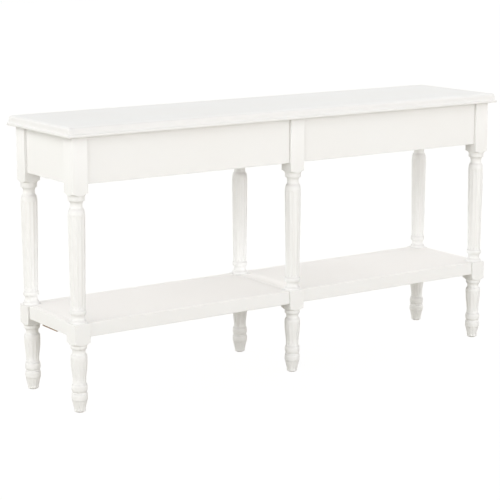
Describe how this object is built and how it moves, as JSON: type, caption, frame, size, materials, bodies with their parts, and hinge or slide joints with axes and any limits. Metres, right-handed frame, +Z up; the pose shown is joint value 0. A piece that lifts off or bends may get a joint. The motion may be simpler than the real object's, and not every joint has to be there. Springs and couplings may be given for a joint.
{
  "type": "console table",
  "caption": "Long painted console table on turned, fluted legs with a moulded top, a plain apron frame and an open lower shelf.",
  "frame": {"origin": "on the floor, under the middle of the table (bottom centre of the overall box)", "axes": "+X along the table's length towards its right-hand end seen from the front, -Y towards the front, +Y towards the wall side, +Z up"},
  "size_m": [1.55, 0.37, 0.8],
  "materials": {
    "painted_wood": "warm white satin paint over close-grained wood, smooth, with faint brush marks and softened edges",
    "raw_wood": "bare planed softwood, matt",
    "glide_plastic": "off-white moulded nylon",
    "zinc_steel": "bright zinc-plated steel"
  },
  "bodies": {
    "root": {"apron_back_left": "painted_wood", "apron_back_right": "painted_wood", "apron_end_left": "painted_wood", "apron_end_right": "painted_wood", "apron_front_left": "painted_wood", "apron_front_right": "painted_wood", "brace_back_left": "raw_wood", "brace_back_right": "raw_wood", "brace_bolt_back_left": "zinc_steel", "brace_bolt_back_right": "zinc_steel", "brace_bolt_front_left": "zinc_steel", "brace_bolt_front_right": "zinc_steel", "brace_front_left": "raw_wood", "brace_front_right": "raw_wood", "brace_nut_back_left": "zinc_steel", "brace_nut_back_right": "zinc_steel", "brace_nut_front_left": "zinc_steel", "brace_nut_front_right": "zinc_steel", "brace_washer_back_left": "zinc_steel", "brace_washer_back_right": "zinc_steel", "brace_washer_front_left": "zinc_steel", "brace_washer_front_right": "zinc_steel", "cross_rail_middle": "raw_wood", "glide_back_left": "glide_plastic", "glide_back_middle": "glide_plastic", "glide_back_right": "glide_plastic", "glide_front_left": "glide_plastic", "glide_front_middle": "glide_plastic", "glide_front_right": "glide_plastic", "leg_back_left": "painted_wood", "leg_back_middle": "painted_wood", "leg_back_right": "painted_wood", "leg_front_left": "painted_wood", "leg_front_middle": "painted_wood", "leg_front_right": "painted_wood", "shelf_board_left": "painted_wood", "shelf_board_right": "painted_wood", "shelf_cleat_left": "raw_wood", "shelf_cleat_middle_left": "raw_wood", "shelf_cleat_middle_right": "raw_wood", "shelf_cleat_right": "raw_wood", "shelf_rail_back_left": "painted_wood", "shelf_rail_back_right": "painted_wood", "shelf_rail_end_left": "painted_wood", "shelf_rail_end_right": "painted_wood", "shelf_rail_front_left": "painted_wood", "shelf_rail_front_right": "painted_wood", "shelf_rail_middle": "painted_wood", "table_top": "painted_wood", "top_cleat_middle": "raw_wood", "top_screw_back_left": "zinc_steel", "top_screw_back_right": "zinc_steel", "top_screw_front_left": "zinc_steel", "top_screw_front_right": "zinc_steel", "top_screw_middle_back": "zinc_steel", "top_screw_middle_front": "zinc_steel"}
  },
  "joints": []
}
